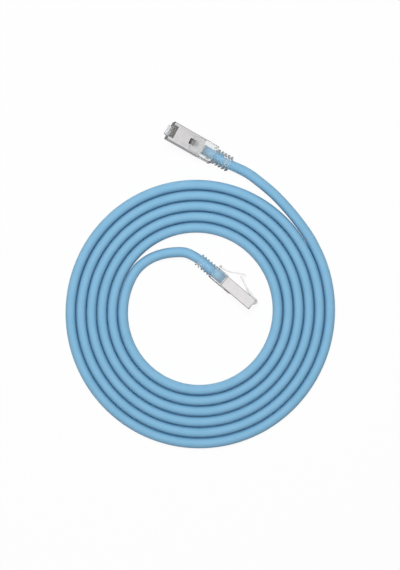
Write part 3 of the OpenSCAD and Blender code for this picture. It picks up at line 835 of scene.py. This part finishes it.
natural_pe = insulation("natural_polyethylene", "#E8E8E2")
grey_bar = insulation("moulded_polycarbonate_grey", "#7C7E80")
WIRE_COLOURS = {
    "pair_orange": "#E5812F", "pair_green": "#3E9A52",
    "pair_blue": "#2F62B8", "pair_brown": "#7A4B2E",
}
wires = {name: insulation(f"polyethylene_{name[5:]}", code) for name, code in WIRE_COLOURS.items()}
FINISHES = {
    "contacts": contact_nickel, "load_bar": grey_bar, "conductors": copper,
    "screen": tinned_braid, "separator": natural_pe, **wires,
}
for letter in "ab":
    body = soft_edged(f"clear_body_{letter}", f"housing_{letter}", HOUSING_EDGE)
    dress(body, polycarbonate, nodes=(f"housing_{letter}",))
    sheet = soft_edged(f"plated_shield_{letter}", f"shield_{letter}", SHIELD_EDGE)
    # Each plug gets its own nickel, so that its painted shade sits round that plug's tang root.
    nickel = plated_metal(
        f"bright_nickel_plating_{letter}", "#ECEAEB", "#E1DFE0",
        rough=(0.20, 0.30), grain_mm=0.12, relief=0.15, shade_at=on_plug(TANG_ROOT, letter))
    dress(sheet, nickel, nodes=(f"shield_{letter}",))
    print("tang faces:", paint_tang_shade(sheet, letter))
    for name, material in FINISHES.items():
        refinish(f"{name}_{letter}", material)

# %% [markdown]
# ## Table and light
#
# A pale table, a big soft lamp behind the coil's far edge and slightly to the left, and an even
# surround. The camera and glass see the table and the surround as plain white, and the table still
# takes the object's shadow. Metal sees a surround that is white overhead and darker towards the
# horizon, which gives its folds their dark sides.

# %% Table
def seen_directly(tree):
    """1 on rays from the camera, a mirror or glass that have met nothing matt, else 0."""
    paths = add(tree, "ShaderNodeLightPath").outputs
    seen = calc(tree, "MAXIMUM", paths["Is Camera Ray"], paths["Is Glossy Ray"])
    seen = calc(tree, "MAXIMUM", seen, paths["Is Transmission Ray"])
    return calc(tree, "MULTIPLY", seen, calc(tree, "LESS_THAN", paths["Diffuse Depth"], 0.5))


def mirrored(tree):
    """1 on rays that a mirror has just turned, else 0; clear plastic turns them by refraction."""
    paths = add(tree, "ShaderNodeLightPath").outputs
    return calc(tree, "SUBTRACT", paths["Is Glossy Ray"], paths["Is Transmission Ray"])


WHITE_SHARE, MIRRORED_TABLE = 0.93, 0.35


def pale_table():
    """White table: mostly plain white to the eye, with enough diffuse left to hold a shadow."""
    material, tree, output = new_material("white_table")
    share = calc(tree, "MULTIPLY", seen_directly(tree), WHITE_SHARE)
    diffuse = add(tree, "ShaderNodeBsdfDiffuse", {"Color": linear("#F4F4F4")})
    glow = span(tree, mirrored(tree), 1.0, MIRRORED_TABLE)
    white = add(tree, "ShaderNodeEmission", {"Color": WHITE, "Strength": glow})
    mix = add(tree, "ShaderNodeMixShader", {0: share, 1: diffuse.outputs[0], 2: white.outputs[0]})
    tree.links.new(mix.outputs[0], output.inputs["Surface"])
    return material


TABLE_HALF, TABLE_TOP = 3000.0, -0.02
edges = (-TABLE_HALF, TABLE_HALF)
corners = np.array([[[x, y, TABLE_TOP] for x in edges] for y in edges])
table = grid_piece("table", corners, wrap_columns=False, capped=False)
table.data.materials.append(pale_table())

# %% Surround
HORIZON, MIRRORED_HORIZON, FILL = 0.75, 0.10, 0.07
DARK_BELOW = 0.2
world = bpy.data.worlds.new("surround")
world.use_nodes = True
bpy.context.scene.world = world
tree = world.node_tree
tree.nodes.clear()
direction = add(tree, "ShaderNodeTexCoord").outputs["Generated"]
height = add(tree, "ShaderNodeSeparateXYZ", {0: direction}).outputs["Z"]
paths = add(tree, "ShaderNodeLightPath").outputs
horizon = span(tree, mirrored(tree), HORIZON, MIRRORED_HORIZON)
rising = span(tree, height, horizon, 1.0, DARK_BELOW, 1.0)
lifted = calc(tree, "MAXIMUM", rising, paths["Is Camera Ray"])
plain = add(tree, "ShaderNodeBackground", {"Color": WHITE, "Strength": lifted})
soft = span(tree, paths["Is Transmission Ray"], FILL, 0.0)
fill = add(tree, "ShaderNodeBackground", {"Color": WHITE, "Strength": soft})
mix = add(tree, "ShaderNodeMixShader", {
    0: seen_directly(tree), 1: fill.outputs[0], 2: plain.outputs[0]})
add(tree, "ShaderNodeOutputWorld", {"Surface": mix.outputs[0]})


# %% Lamps
def lamp(name, place, size, power):
    """A square soft lamp aimed at the middle of the object; place is in millimetres."""
    data = bpy.data.lights.new(name, "AREA")
    data.size = size * MM
    data.energy = power
    data.shape = "SQUARE"
    light = bpy.data.objects.new(name, data)
    light.location = np.array(place) * MM
    light.rotation_euler = (-light.location).to_track_quat("-Z", "Y").to_euler()
    light.visible_transmission = False
    light.visible_glossy = False
    bpy.context.scene.collection.objects.link(light)


lamp("key", place=(-110, 300, 1250), size=500, power=15.5)
